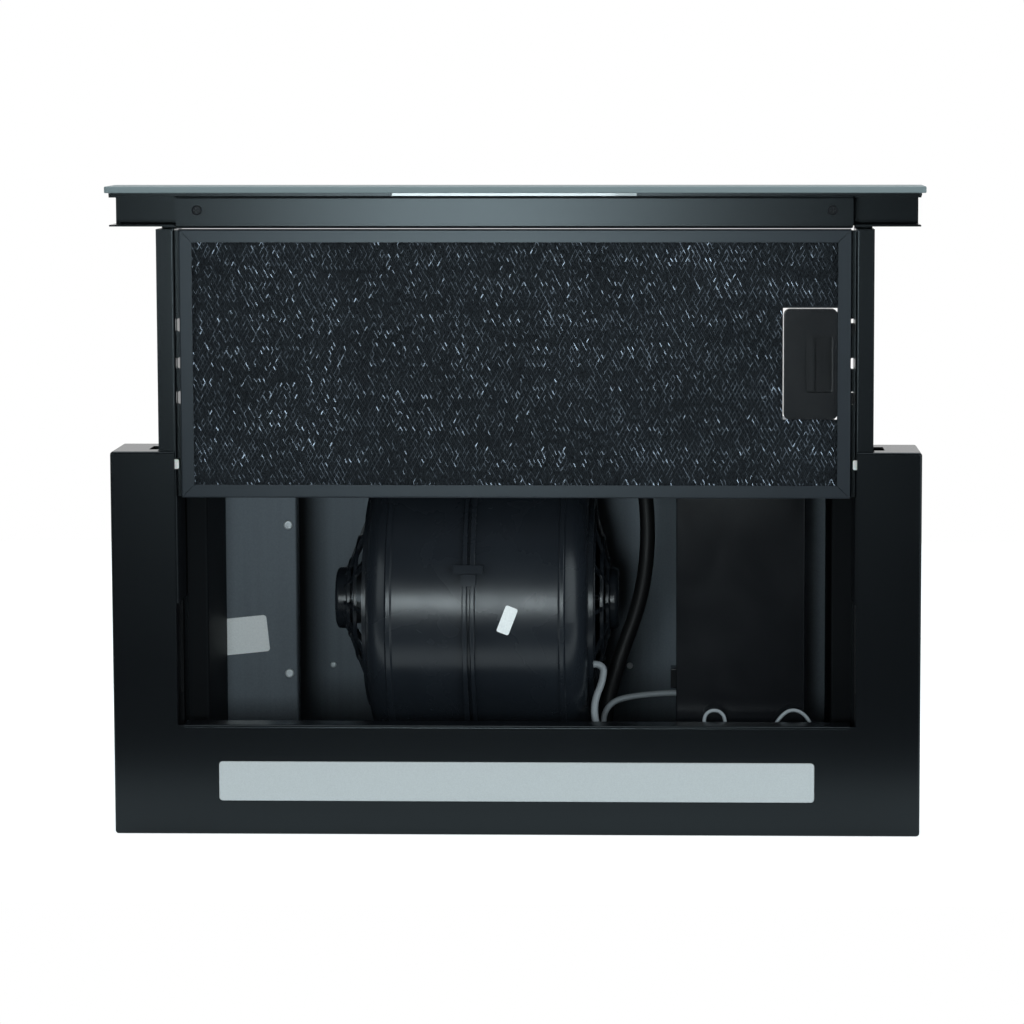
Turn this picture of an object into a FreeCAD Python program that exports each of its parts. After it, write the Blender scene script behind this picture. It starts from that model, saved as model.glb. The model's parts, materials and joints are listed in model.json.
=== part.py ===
import FreeCAD, Part

import math
import os

from FreeCAD import Vector

# Pull-out (telescopic) cooker hood for a 600 mm cabinet, in millimetres.
# It stands on its wall face: +Z is the way the drawer pulls out, -Y the underside that faces the hob,
# +Y the outlet side. The sizes are drawn with Y = 0 on the underside; each piece is then moved back so
# that the origin is the middle of the whole hood's box on the wall face.

# ---------------------------------------------------------------- body tray
body_width = 595.0
body_length = 285.0
tray_height = 51.0
steel = 1.2
bend = 0.8
tray_corner = 2.5
stile_width = 47.5
opening_width = body_width - 2 * stile_width
opening_rear = 82.0
lip_height = 17.0
lip_clear = 3.0
hem_width = 6.0
cabinet_hole_spacing = 170.0
cabinet_hole_z = 145.0
cabinet_hole_y = 25.0
cabinet_hole_radius = 2.25

# ---------------------------------------------------------------- motor chamber
chamber_inset = 61.5
chamber_width = body_width - 2 * chamber_inset
chamber_length = 283.0
chamber_height = 220.0
chamber_steel = 1.0
chamber_flange = 14.0
strip_margin = 6.0
ledge_width = 18.0
bead_radius = 5.0
bead_depth = 1.6

# ---------------------------------------------------------------- liners and mounting plates
liner_steel = 1.2
plate_level = 140.0
plate_steel = 1.2
plate_fold = 12.0
left_plate_width = 57.0
right_plate_width = 41.0
left_plate_rear = 18.0
right_plate_rear = 56.0
plate_corner = 6.0
plate_front_gap = 2.0

# ---------------------------------------------------------------- drawer
drawer_travel = 164.0
closing_gap = 1.0
glass_overhang = 1.7
glass_width = body_width + 2 * glass_overhang
glass_height = 45.0
glass_thickness = 4.7
glass_corner = 3.0
front_plate_inset = 1.5
front_plate_width = body_width - 2 * front_plate_inset
front_plate_height = 43.0
front_plate_steel = 2.0
channel_length = 22.3
channel_depth = 29.2
bracket_inset = 2.2
bracket_width = body_width - 2 * bracket_inset
bracket_gap = 1.3
crossbar_inset = 3.8
crossbar_width = opening_width - 2 * crossbar_inset
crossbar_length = 23.7
crossbar_depth = 28.0
crossbar_screw_inset = 15.2
carrier_height = 11.0
carrier_gap = 0.2
touch_width = 179.0
touch_body_width = 170.0
touch_height = 34.0
touch_body_length = 13.0

# ---------------------------------------------------------------- side arms and slides
arm_width = 13.4
arm_height = 36.0
arm_level = 4.0
arm_margin = 9.0
arm_length = body_length - arm_margin
arm_tab = 20.0
arm_opening_gap = 1.4
arm_slot_clear = 1.0
slot_lobe_width = 8.0
slot_lobe_low = 14.0
slot_lobe_high = 36.0
rail_height = 28.0
rail_steel = 1.2
rail_step = 4.6
rail_clear = 0.2
rail_rear = 12.0
rail_front_gap = 3.0
fixed_rail_length = body_length - rail_rear - rail_front_gap
middle_rail_length = fixed_rail_length - 40.0
drawer_rail_length = arm_length - 14.0
seat_width = 10.6
seat_gap = 0.3
seat_slot_width = 3.0
seat_slots = ((28.0, 9.6), (0.0, 8.0), (-25.5, 9.4))
glide_length = 7.0
glide_reach = 3.0
glide_width = 10.0
glide_gap = 0.3

# ---------------------------------------------------------------- grease filter
filter_inset = 5.0
filter_width = opening_width - 2 * filter_inset
filter_length = 197.0
filter_level = 1.0
filter_thickness = 9.0
filter_border = 9.5
filter_steel = 0.8
filter_fit = 0.3
filter_front_gap = 0.6
mitre_gap = 0.3
mesh_folds = 8
mesh_fold_depth = 1.2
latch_width = 39.2
latch_length = 81.0
latch_sink = 0.5
latch_wall = 1.6
latch_corner = 4.5
slot_width = 20.2
slot_length = 41.4
slot_inset = 3.4
slot_corner = 3.0
latch_travel = 6.0
slider_width = 7.2
slider_fit = 0.4
recess_depth = 5.2
recess_floor = 1.0
prong_width = 8.6
prong_spacing = 51.0
prong_thickness = 1.2
prong_clear = 0.3
push_mark_radius = 4.4
push_mark_wall = 0.8
push_mark_drop = 6.5
push_mark_height = 0.4
ridge_count = 3
ridge_radius = 0.5

# ---------------------------------------------------------------- strip lamp
lamp_inset = 30.0
lamp_width = opening_width - 2 * lamp_inset
lamp_length = 30.0
lamp_rear = 25.0
lamp_corner = 3.0
lamp_skin = 2.0
lamp_skirt = 7.0
lamp_fit = 0.2
lamp_housing_height = 14.0
lamp_housing_wall = 1.5
lamp_housing_flange = 5.0
lamp_board_thickness = 1.6
lamp_chip = 5.0
lamp_chip_height = 0.8
lamp_chips = 16

# ---------------------------------------------------------------- blower
blower_x = -37.0
blower_y = 145.0
blower_z = 153.0
drum_radius = 113.0
drum_half = 68.0
left_shortening = 9.0
shoulder = 20.0
drum_wall = 2.2
seam_gap = 2.0
seam_rib_width = 3.8
seam_rib_height = 3.0
end_rib_height = 1.2
end_rib_width = 3.0
end_rib_slope = 2.0
inlet_radius = 72.0
inlet_ring_radius = 86.0
inlet_ring_height = 2.5
spigot_radius = 73.0
spigot_flange = 9.0
spigot_flange_height = 2.5
grille_rings = ((70.0, 90.5), (48.0, 96.5), (30.0, 100.5))
grille_bar = 3.0
grille_ribs = 12
grille_rim = 1.5
hub_radius = 24.0
hub_reach = 110.0
hub_base = 97.0
wheel_radius = 82.0
wheel_inner_radius = 66.0
wheel_half = 70.0
wheel_disc = 2.4
wheel_ring = 3.0
wheel_hub_radius = 14.0
wheel_hub_half = 12.0
blade_count = 26
blade_thickness = 1.2
blade_sweep = 15.0
blade_bow = 4.0
shaft_radius = 4.0
running_fit = 0.05
motor_radius = 42.0
motor_near = 18.0
motor_far = 84.0
motor_neck_radius = 20.0
motor_corner = 6.0
bearing_depth = 8.0

# ---------------------------------------------------------------- outlet
collar_radius = 75.0
collar_wall = 2.0
collar_height = 36.0
collar_flange = 14.0
collar_flange_height = 2.5
collar_screw_spacing = 116.0
flap_level = 10.0
flap_gap = 1.2
flap_thickness = 1.4
flap_stop_gap = 0.5
flap_stop_height = 2.4
flap_stop_width = 4.0
flap_bar_radius = 2.0
knuckle_radius = 3.6
knuckle_length = 16.0
knuckle_gap = 0.6
knuckle_pitch = 36.0

# ---------------------------------------------------------------- electronics
box_inset = 21.7
box_width = 96.3
box_right = chamber_width / 2 - box_inset
box_left = box_right - box_width
box_rear = 75.0
box_length = 187.0
box_level = 40.0
box_wall = 2.0
cover_height = 22.0
cover_wall = 1.6
cover_corner = 4.0
cover_fit = 0.3
board_standoff = 12.0
board_thickness = 1.6
board_parts = ((15.0, 90.0, 18.0, 18.0, 12.0), (45.0, 48.0, 15.0, 22.0, 16.0), (45.0, 76.0, 15.0, 22.0, 16.0))
capacitor_radius = 15.0
capacitor_length = 58.0
capacitor_inset = 12.0
terminal_length = 50.0
terminal_depth = 18.0
terminal_width = 14.0
terminal_ways = 5
terminal_inset = 14.0
terminal_hole = 2.2
socket_width = 5.0
socket_length = 15.0
socket_depth = 14.0
socket_z = 105.0
driver_width = 90.0
driver_length = 34.0
driver_height = 16.0
driver_offset = 58.0
driver_x = box_left - driver_offset

# ---------------------------------------------------------------- fasteners, labels, cables
screw_radius = 3.6
screw_head = 2.0
screw_cross = 0.9
left_screws = ((50.0, 211.0), (50.0, 93.7), (15.0, 48.7))
right_screws = ((10.0, 262.0),)
rivet_radius = 2.6
rivet_head = 1.2
rivet_inset = 113.3
rivet_spacing_x = chamber_width - 2 * rivet_inset
rivet_spacing_z = 155.0
rivet_x = -43.0
label_shows = 32.3
label_width = 40.0
label_length = 28.8
label_tilt = 6.0
label_thickness = 0.3
label_z = 123.5
sticker_width = 9.6
sticker_length = 21.0
sticker_thickness = 0.4
sticker_x = -8.0
sticker_z = 155.0
sticker_turn = 21.0
clamp_width = 11.0
clamp_length = 9.0
clamp_z = 185.0
lug_width = 22.0
lug_length = 6.0
lug_z = 193.0
clamp_height = 3.0
gland_offset = 32.0
gland_x = box_left + gland_offset
gland_z = 60.0
gland_radius = 9.0
gland_bore = 3.6
gland_height = 16.0
gland_nut_radius = 12.0
gland_nut_height = 5.0
cable_diameter = 5.4
lead_diameter = 4.6
sleeve_diameter = 11.6
lamp_lead_diameter = 2.6
# Route points: distance along X from the named anchor, then Y and Z.
motor_cable_upper = ((8.45, 75.0, 114.0), (6.95, 71.5, 101.0), (1.45, 65.5, 89.0), (0.95, 61.0, 76.0))
motor_cable_lower = ((2.0, 57.5, 58.0), (11.0, 52.5, 43.5), (24.0, 48.0, 37.0), (36.0, 43.5, 37.5),
                     (42.5, 39.5, 38.0))
lamp_cable_lower = ((16.0, 42.0, 51.0), (14.0, 55.0, 51.5), (10.0, 68.0, 54.0))
lamp_cable_upper = ((9.95, 81.0, 59.0), (6.45, 93.0, 66.0), (9.45, 101.5, 75.0), (18.95, 104.8, 82.0))
lamp_cable_end = (-12.0, 104.8, 86.0)
lamp_lead_arch = ((-6.0, 24.0, 42.0), (-4.0, 28.0, 55.0), (-0.5, 29.0, 66.0), (-1.0, 29.5, 78.0),
                  (-8.0, 30.0, 87.0), (-17.0, 30.0, 89.0), (-25.0, 29.5, 83.0), (-31.0, 28.0, 72.0),
                  (-38.0, 26.5, 59.0), (-47.0, 25.5, 51.0))
lamp_lead_hump = ((13.0, 25.5, 52.0), (6.5, 27.0, 61.0), (4.5, 28.5, 73.0), (4.5, 29.0, 83.3),
                  (-0.2, 29.3, 88.0), (-6.8, 29.3, 88.0), (-11.5, 29.0, 83.3), (-10.5, 26.5, 72.0),
                  (-8.0, 22.0, 66.0))
sleeve_upper = ((-4.5, 132.0, 256.0), (0.0, 124.0, 228.0), (0.5, 120.0, 198.0), (-2.5, 120.0, 170.0),
                (-8.0, 120.0, 147.0))
sleeve_lower = ((24.45, 119.5, 125.0), (17.95, 119.0, 106.0), (11.45, 119.0, 84.0), (6.95, 119.0, 58.0),
                (5.95, 119.0, 30.0))

# ---------------------------------------------------------------- levels that follow from the sizes
chamber_top = tray_height + chamber_height
chamber_ceiling = chamber_top - chamber_steel
drawer_base = body_length + drawer_travel + closing_gap
channel_top = drawer_base + channel_length
plate_top = channel_top + front_plate_steel
crossbar_base = channel_top - crossbar_length
arm_inner = opening_width / 2 - arm_opening_gap
arm_outer = arm_inner + arm_width
arm_top = crossbar_base - 0.7
arm_rear = arm_top - arm_length
rail_level = arm_level + (arm_height - rail_height) / 2
filter_top = crossbar_base - filter_front_gap
filter_rear = filter_top - filter_length
filter_side = filter_width / 2
latch_z = filter_rear + filter_length / 2
seat_level = filter_level + filter_thickness + seat_gap
liner_side = chamber_width / 2 - chamber_steel
liner_face = liner_side - liner_steel
cover_top = box_rear + box_length
middle_level = (chamber_top + collar_height - screw_head) / 2

DIRECTION = {"X": Vector(1, 0, 0), "Y": Vector(0, 1, 0), "Z": Vector(0, 0, 1)}


# ---------------------------------------------------------------- drawing helpers
def spot(axis, u, v, w):
    """Point from profile coordinates: w runs along axis, u and v along the other two in order."""
    return {"X": Vector(w, u, v), "Y": Vector(u, w, v), "Z": Vector(u, v, w)}[axis]


def outline(axis, level, points):
    """Closed wire through (u, v) or (u, v, radius) corners, each radius a tangent arc."""
    corners = []
    for i, point in enumerate(points):
        here = Vector(point[0], point[1], 0)
        if len(point) < 3 or point[2] <= 0:
            corners.append((here, None, here))
            continue
        back = (Vector(*points[i - 1][:2], 0) - here).normalize()
        ahead = (Vector(*points[(i + 1) % len(points)][:2], 0) - here).normalize()
        half = back.getAngle(ahead) / 2
        inward = (back + ahead).normalize()
        centre = here + inward * (point[2] / math.sin(half))
        reach = point[2] / math.tan(half)
        corners.append((here + back * reach, centre - inward * point[2], here + ahead * reach))
    edges = []
    for i, (start, middle, end) in enumerate(corners):
        if middle is not None:
            arc = [spot(axis, p.x, p.y, level) for p in (start, middle, end)]
            edges.append(Part.Arc(*arc).toShape())
        after = corners[(i + 1) % len(corners)][0]
        if (after - end).Length > 1e-6:
            line = [spot(axis, p.x, p.y, level) for p in (end, after)]
            edges.append(Part.LineSegment(*line).toShape())
    return Part.Wire(edges)


def prism(axis, low, high, points):
    """Solid with one outline along the whole way from low to high."""
    return Part.Face(outline(axis, low, points)).extrude(DIRECTION[axis] * (high - low))


def block(x, y, z, radius=0.0, axis="Z"):
    """Block between pairs of limits, its four edges along axis rounded."""
    limits = {"X": x, "Y": y, "Z": z}
    u, v = [limits[name] for name in "XYZ" if name != axis]
    corners = [(u[0], v[0], radius), (u[1], v[0], radius), (u[1], v[1], radius), (u[0], v[1], radius)]
    return prism(axis, limits[axis][0], limits[axis][1], corners)


def folded(axis, low, high, path, thickness, radius=bend):
    """Sheet folded along an open path of (u, v) points, on its left, or its right if thickness < 0."""
    points = [Vector(u, v, 0) for u, v in path]
    steps = [(b - a).normalize() for a, b in zip(points, points[1:])]
    left = [Vector(-s.y, s.x, 0) for s in steps]
    near = []
    far = []
    for i, point in enumerate(points):
        if i in (0, len(points) - 1):
            near.append((point.x, point.y))
            edge = point + left[min(i, len(left) - 1)] * thickness
            far.append((edge.x, edge.y))
            continue
        mitre = left[i - 1] + left[i]
        corner = point + mitre * (thickness / mitre.dot(left[i]))
        round_outside = radius + abs(thickness)
        inside = steps[i - 1].cross(steps[i]).z * thickness > 0
        near.append((point.x, point.y, round_outside if inside else radius))
        far.append((corner.x, corner.y, radius if inside else round_outside))
    return prism(axis, low, high, near + far[::-1])


def rod(axis, u, v, radius, low, high):
    """Round bar along axis."""
    return Part.makeCylinder(radius, high - low, spot(axis, u, v, low), DIRECTION[axis])


def turned(points):
    """Solid turned about the blower's axis from (distance from its middle plane, radius) corners."""
    profile = [(blower_x + p[0], blower_y - p[1]) + tuple(p[2:]) for p in points]
    face = Part.Face(outline("Z", blower_z, profile))
    return face.revolve(Vector(blower_x, blower_y, blower_z), DIRECTION["X"], 360)


def mirrored(shape, at_x=0.0):
    """The same piece on the other side of the plane x = at_x."""
    return shape.mirror(Vector(at_x, 0, 0), DIRECTION["X"])


def pan_head(axis, u, v, seat, outward):
    """Cross-recessed screw head standing on seat, outward +1 or -1 along axis."""
    tip = seat + outward * screw_head
    head = rod(axis, u, v, screw_radius, min(seat, tip), max(seat, tip))
    edge = max if outward > 0 else min
    rim = edge(head.Edges, key=lambda e: e.CenterOfMass.dot(DIRECTION[axis]))
    head = head.makeFillet(screw_head * 0.55, [rim])
    deep = tip - outward * screw_head * 0.6
    arm = screw_radius * 0.55
    half = screw_cross / 2
    for a, b in ((arm, half), (half, arm)):
        corners = [(u - a, v - b), (u + a, v - b), (u + a, v + b), (u - a, v + b)]
        head = head.cut(prism(axis, min(deep, tip), max(deep, tip), corners))
    return head


def cable(name, points, diameter):
    """Round cable: straight runs joined by tangent arcs as large as the shorter run allows."""
    points = [Vector(*p) for p in points]
    edges = []
    start = points[0]
    tightest = None
    for before, here, after in zip(points, points[1:], points[2:]):
        back = (before - here).normalize()
        ahead = (after - here).normalize()
        reach = 0.45 * min((before - here).Length, (after - here).Length)
        half = back.getAngle(ahead) / 2
        radius = reach * math.tan(half)
        tightest = radius if tightest is None else min(tightest, radius)
        inward = (back + ahead).normalize()
        middle = here + inward * (radius / math.sin(half) - radius)
        edges.append(Part.LineSegment(start, here + back * reach).toShape())
        edges.append(Part.Arc(here + back * reach, middle, here + ahead * reach).toShape())
        start = here + ahead * reach
    edges.append(Part.LineSegment(start, points[-1]).toShape())
    path = Part.Wire(edges)
    ring = Part.Wire(Part.makeCircle(diameter / 2, points[0], points[1] - points[0]))
    tube = path.makePipeShell([ring], True, False)
    ideal = math.pi * diameter ** 2 / 4 * path.Length
    print(name, "least radius", round(tightest, 1), "volume share", round(tube.Volume / ideal, 4))
    return tube


# ---------------------------------------------------------------- body
def tray_shell():
    side = body_width / 2
    half = opening_width / 2
    outer = block((-side, side), (0, tray_height), (0, body_length), tray_corner, "Y")
    near = [e for e in outer.Edges if e.BoundBox.YMax < 0.01]
    outer = outer.makeFillet(bend + steel, near)
    inner = block((-side + steel, side - steel), (steel, tray_height - steel),
                  (steel, body_length - steel), bend, "Y")
    shell = outer.cut(inner)
    mouth = block((-half, half), (-1, steel + 1), (opening_rear, body_length + 1))
    well = block((-half, half), (steel, tray_height + 1), (body_length - steel - 1, body_length + 1))
    roof = block((-chamber_width / 2, chamber_width / 2), (tray_height - steel - 1, tray_height + 1),
                 (steel, body_length + 1))
    shell = shell.cut(mouth).cut(well).cut(roof)
    lamp = block((-lamp_width / 2, lamp_width / 2), (-1, steel + 1),
                 (lamp_rear, lamp_rear + lamp_length), lamp_corner, "Y")
    shell = shell.cut(lamp)
    lip_side = arm_inner - lip_clear
    lip_root = opening_rear - 3 * (steel + bend)
    lip = folded("X", -lip_side, lip_side,
                 ((0, lip_root), (0, opening_rear), (lip_height, opening_rear)), -steel)
    shell = shell.cut(block((-lip_side, lip_side), (-1, steel + 1), (lip_root, opening_rear + 1))).fuse(lip)
    for way in (-1, 1):
        hem = block(sorted((way * half, way * (half + hem_width))), (steel, 2 * steel),
                    (opening_rear, body_length - steel))
        slot_side = arm_outer + arm_slot_clear
        slot = block(sorted((way * (half - 1), way * slot_side)),
                     (arm_level - arm_slot_clear, arm_level + arm_height + arm_slot_clear),
                     (body_length - steel - 1, body_length + 1), 1.0)
        lobe = block(sorted((way * (slot_side - 2), way * (slot_side + slot_lobe_width))),
                     (slot_lobe_low, slot_lobe_high), (body_length - steel - 1, body_length + 1), 1.5)
        shell = shell.fuse(hem).cut(slot).cut(lobe)
        for step in (-0.5, 0.5):
            hole = rod("X", cabinet_hole_y, cabinet_hole_z + step * cabinet_hole_spacing,
                       cabinet_hole_radius, *sorted((way * (side - 3), way * (side + 3))))
            shell = shell.cut(hole)
    return shell.removeSplitter()


def motor_chamber():
    side = chamber_width / 2
    t = chamber_steel
    outer = block((-side, side), (tray_height, chamber_top), (0, chamber_length), bend + t, "Y")
    top = [e for e in outer.Edges if e.BoundBox.YMin > chamber_top - 0.01]
    outer = outer.makeFillet(bend + t, top)
    inner = block((-side + t, side - t), (tray_height - 1, chamber_ceiling), (t, chamber_length - t),
                  bend, "Y")
    shell = outer.cut(inner)
    for way in (-1, 1):
        flange = block(sorted((way * (side - t), way * (side + chamber_flange))),
                       (tray_height, tray_height + t), (4, chamber_length - 4))
        bead = block(sorted((way * (side - t - 1), way * (side - t))),
                     (tray_height, tray_height + t), (4, chamber_length - 4))
        shell = shell.fuse(flange.cut(bead))
    ledge = block((-side + t, side - t), (chamber_ceiling - t, chamber_ceiling), (t, t + ledge_width))
    shell = shell.fuse(ledge)
    shell = shell.cut(rod("Y", blower_x, blower_z, spigot_radius, chamber_ceiling - 1, chamber_top + 1))
    shell = shell.cut(rod("Y", gland_x, gland_z, gland_radius, chamber_ceiling - t - 1, chamber_top + 1))
    for z in (blower_z - 92, blower_z + 92):
        bead = rod("X", chamber_top + bead_radius - bead_depth, z, bead_radius, -side + 20, side - 20)
        shell = shell.cut(bead.common(block((-side, side), (chamber_top - bead_depth / 2, chamber_top + 20),
                                            (0, chamber_length))))
    return chamber_sheets(shell.removeSplitter())


def chamber_sheets(shell):
    """The chamber's sheets, face to face at their folds: ceiling, four walls, two flanges and a ledge.
    The ceiling is in strips, and in quarters round the outlet hole."""
    side = chamber_width / 2
    edge = chamber_steel + bend
    outside = chamber_flange + 1
    x = (-side - outside, side + outside)
    walls = (tray_height - 1, chamber_ceiling)
    middle = (edge, chamber_length - edge)
    left = blower_x - spigot_radius - strip_margin
    right = blower_x + spigot_radius + strip_margin
    quarters = [(lane, row) for lane in ((left, blower_x), (blower_x, right))
                for row in ((-1, blower_z), (blower_z, chamber_length + 1))]
    lanes = [((x[0], left), (-1, chamber_length + 1)), ((right, x[1]), (-1, chamber_length + 1))]
    roof = (chamber_ceiling, chamber_top + 1)
    regions = [block(lane, roof, row) for lane, row in lanes + quarters]
    regions += [
        block((-side, side), walls, (-1, edge)),
        block((-side, side), walls, (chamber_length - edge, chamber_length + 1)),
        block((-side, -side + edge), walls, middle),
        block((side - edge, side), walls, middle),
        block((-side - outside, -side), walls, (-1, chamber_length + 1)),
        block((side, side + outside), walls, (-1, chamber_length + 1)),
        block((-side + edge, side - edge), walls, middle)]
    return Part.makeCompound([shell.common(region).removeSplitter() for region in regions])


def side_liner():
    """Black liner on the right-hand chamber wall; it also roofs the arm's space."""
    ledge = folded("Z", opening_rear - 60, chamber_length - chamber_steel - plate_front_gap,
                   ((opening_width / 2 - 1, tray_height - steel), (liner_side, tray_height - steel),
                    (liner_side, plate_level)), liner_steel)
    return ledge


def mounting_plate(width, rear, corner):
    """Grey plate on the right-hand wall, folded away from the viewer along its inner edge."""
    front = chamber_length - chamber_steel - plate_front_gap
    plate = folded("Z", rear, front,
                   ((liner_side, plate_level), (liner_side - width, plate_level),
                    (liner_side - width, plate_level + plate_fold)), -plate_steel)
    if corner > 0:
        keep = block((liner_side - width - 1, liner_side), (plate_level - 1, plate_level + plate_fold + 1),
                     (rear, front + corner), corner, "Y")
        plate = plate.common(keep)
    return plate


def rail_bracket():
    """Channel between the tray's side wall and the fixed rail, right side."""
    wall = body_width / 2 - steel
    low = rail_level + 1
    high = rail_level + rail_height - 1
    seat = arm_outer + 0.1
    return folded("Z", rail_rear + 10, rail_rear + fixed_rail_length - 10,
                  ((wall, low), (seat, low), (seat, high), (wall, high)), -rail_steel)


def fixed_rail():
    seat = arm_outer + 0.1
    inner = arm_inner + rail_steel + 1.0
    low = rail_level
    high = rail_level + rail_height
    return folded("Z", rail_rear, rail_rear + fixed_rail_length,
                  ((inner, low), (seat, low), (seat, high), (inner, high)), rail_steel)


def middle_rail():
    """Rail that rides between the fixed and the drawer rail; its beads hold the ball tracks."""
    seat = arm_outer + 0.1 - rail_steel - 1.0
    inner = arm_inner + rail_steel + 1.6
    low = rail_level + rail_steel + rail_clear
    high = rail_level + rail_height - rail_steel - rail_clear
    rear = rail_rear + fixed_rail_length / 2 - middle_rail_length / 2 + drawer_travel / 2 - 14
    track = rail_step - rail_steel - 2 * rail_clear
    path = ((inner, low), (seat, low), (seat, high), (inner, high))
    rail = folded("Z", rear, rear + middle_rail_length, path, track, 0.4)
    return rail


def drawer_rail():
    """Rail on the arm's web, right side, open away from the filter."""
    seat = arm_inner + rail_steel
    outer = arm_outer - rail_steel - track_space()
    low = rail_level + rail_step + rail_clear
    high = rail_level + rail_height - rail_step - rail_clear
    return folded("Z", arm_rear + 3, arm_rear + 3 + drawer_rail_length,
                  ((outer, low), (seat, low), (seat, high), (outer, high)), -rail_steel)


def track_space():
    """Room between the drawer rail's lips and the middle rail's web."""
    return rail_step + rail_steel


def glide():
    """White nylon glide at the mouth of the tray; its tip shows past the stile."""
    tip = opening_width / 2 - glide_reach
    front = body_length - 6
    foot = block((tip, tip + glide_width), (2 * steel + 0.05, arm_level - glide_gap),
                 (front - glide_length, front), 1.2, "Y")
    return foot


# ---------------------------------------------------------------- drawer
def carrier_level():
    """Near face of the cross web that hangs from the front plate behind the end brackets."""
    return channel_depth + carrier_gap


def front_plate():
    half = front_plate_width / 2
    plate = block((-half, half), (1, 1 + front_plate_height), (channel_top, plate_top), 2.0)
    touch = touch_width / 2 + 0.2
    plate = plate.cut(block((-touch, touch), (0, 1 + touch_height), (channel_top - 1, plate_top + 1)))
    web = carrier_level()
    wide = bracket_width / 2
    middle = arm_inner - 1
    web_plate = block((-wide, wide), (web, web + steel), (drawer_base, channel_top))
    carrier = folded("X", -middle, middle,
                     ((web, channel_top), (web, arm_top), (web + carrier_height, arm_top)), steel)
    return plate.fuse([web_plate, carrier]).removeSplitter()


def glass_front():
    half = glass_width / 2
    slab = block((-half, half), (0, glass_height), (plate_top, plate_top + glass_thickness), glass_corner)
    edges = [e for e in slab.Edges if e.BoundBox.ZLength < 0.01]
    return slab.makeChamfer(0.5, edges)


def touch_module():
    """Lens slab under the glass with its tray hanging into the crossbar."""
    half = touch_width / 2
    body = touch_body_width / 2
    lens = block((-half, half), (0.3, touch_height), (channel_top, plate_top), 1.0)
    tray = block((-body, body), (3, crossbar_depth - 1.5), (channel_top - touch_body_length, channel_top),
                 1.5, "Y")
    return lens.fuse(tray)


def crossbar():
    half = crossbar_width / 2
    bar = folded("X", -half, half,
                 ((crossbar_depth, crossbar_base), (0, crossbar_base), (0, channel_top),
                  (crossbar_depth, channel_top)), -steel)
    body = touch_body_width / 2 + 0.5
    bar = bar.cut(block((-body, body), (steel + 0.6, crossbar_depth + 1), (channel_top - 2, channel_top + 1)))
    ends = block((-half, half), (-1, crossbar_depth + 1), (crossbar_base, channel_top), 2.0, "Y")
    return bar.common(ends)


def end_bracket():
    inner = crossbar_width / 2 + bracket_gap
    outer = bracket_width / 2
    return folded("X", inner, outer,
                  ((0, drawer_base), (channel_depth, drawer_base), (channel_depth, channel_top),
                   (0, channel_top)), steel)


def crossbar_screws():
    x = crossbar_width / 2 - crossbar_screw_inset
    z = (crossbar_base + channel_top) / 2 + 1.5
    return Part.makeCompound([pan_head("Y", way * x, z, 0, -1) for way in (-1, 1)])


def side_arm():
    """Right arm: a channel open away from the filter, with the filter's seat on its inner face."""
    low = arm_level
    high = arm_level + arm_height
    arm = folded("Z", arm_rear, arm_top,
                 ((arm_outer, low), (arm_inner, low), (arm_inner, high), (arm_outer, high)), -steel)
    cap = block((arm_inner, arm_outer), (low, high), (arm_top - steel, arm_top), 1.0)
    tab_level = carrier_level() + steel
    tab = block((arm_inner, arm_outer), (tab_level, tab_level + steel),
                (arm_top - steel, arm_top + arm_tab), 2.0, "Y")
    seat = block((arm_inner - seat_width, arm_inner + steel / 2), (seat_level, seat_level + steel),
                 (filter_rear, arm_top - 1))
    for offset, length in seat_slots:
        x = arm_inner - 0.4
        slot = block((x - seat_slot_width, x), (seat_level - 1, seat_level + 3),
                     (latch_z + offset - length / 2, latch_z + offset + length / 2), 1.4, "Y")
        seat = seat.cut(slot)
    return arm.fuse([cap, tab, seat]).removeSplitter()


# ---------------------------------------------------------------- grease filter
def filter_member(length, mitre):
    """Channel along X with mitred ends, its outer edge on z = 0 and its open side towards +z."""
    half = length / 2
    low = filter_level
    high = filter_level + filter_thickness
    bar = folded("X", -half, half,
                 ((low, filter_border), (low, 0), (high, 0), (high, filter_border)), filter_steel, 0.3)
    wide = filter_border + 1
    for way in (-1, 1):
        end = way * (half + 1)
        toe = way * (half - mitre)
        wedge = prism("Y", low - 1, high + 1,
                      ((end, -1), (toe + way, -1), (toe - way * wide, wide), (end, wide)))
        bar = bar.cut(wedge)
    return bar


def filter_frame():
    gap = mitre_gap * 0.7
    rear = filter_member(filter_width, gap)
    side = filter_member(filter_length, gap)
    rear.translate(Vector(0, 0, filter_rear))
    middle = Vector(0, 0, filter_rear + filter_length / 2)
    front = rear.copy()
    front.rotate(middle, DIRECTION["Y"], 180)
    left = side.copy()
    left.rotate(Vector(0, 0, 0), DIRECTION["Y"], 90)
    left.translate(Vector(-filter_side, 0, middle.z))
    right = left.copy()
    right.rotate(middle, DIRECTION["Y"], 180)
    for way in (-0.5, 0.5):
        z = latch_z + way * prong_spacing
        half = prong_width / 2 + slider_fit
        window = block((filter_side - 4, filter_side + 2),
                       (prong_low() - prong_clear, prong_low() + prong_thickness + prong_clear),
                       (z - half, z + half))
        right = right.cut(window)
    return Part.makeCompound([rear, front, left, right])


def mesh_limits():
    """Near and far face of the mesh pack inside the frame's channel."""
    low = filter_level + filter_steel + filter_fit
    high = filter_level + filter_thickness - filter_steel - filter_fit
    return low, high


def latch_x():
    """Left and right side of the latch housing."""
    right = filter_side - filter_border - 0.1
    return right - latch_width, right


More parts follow.
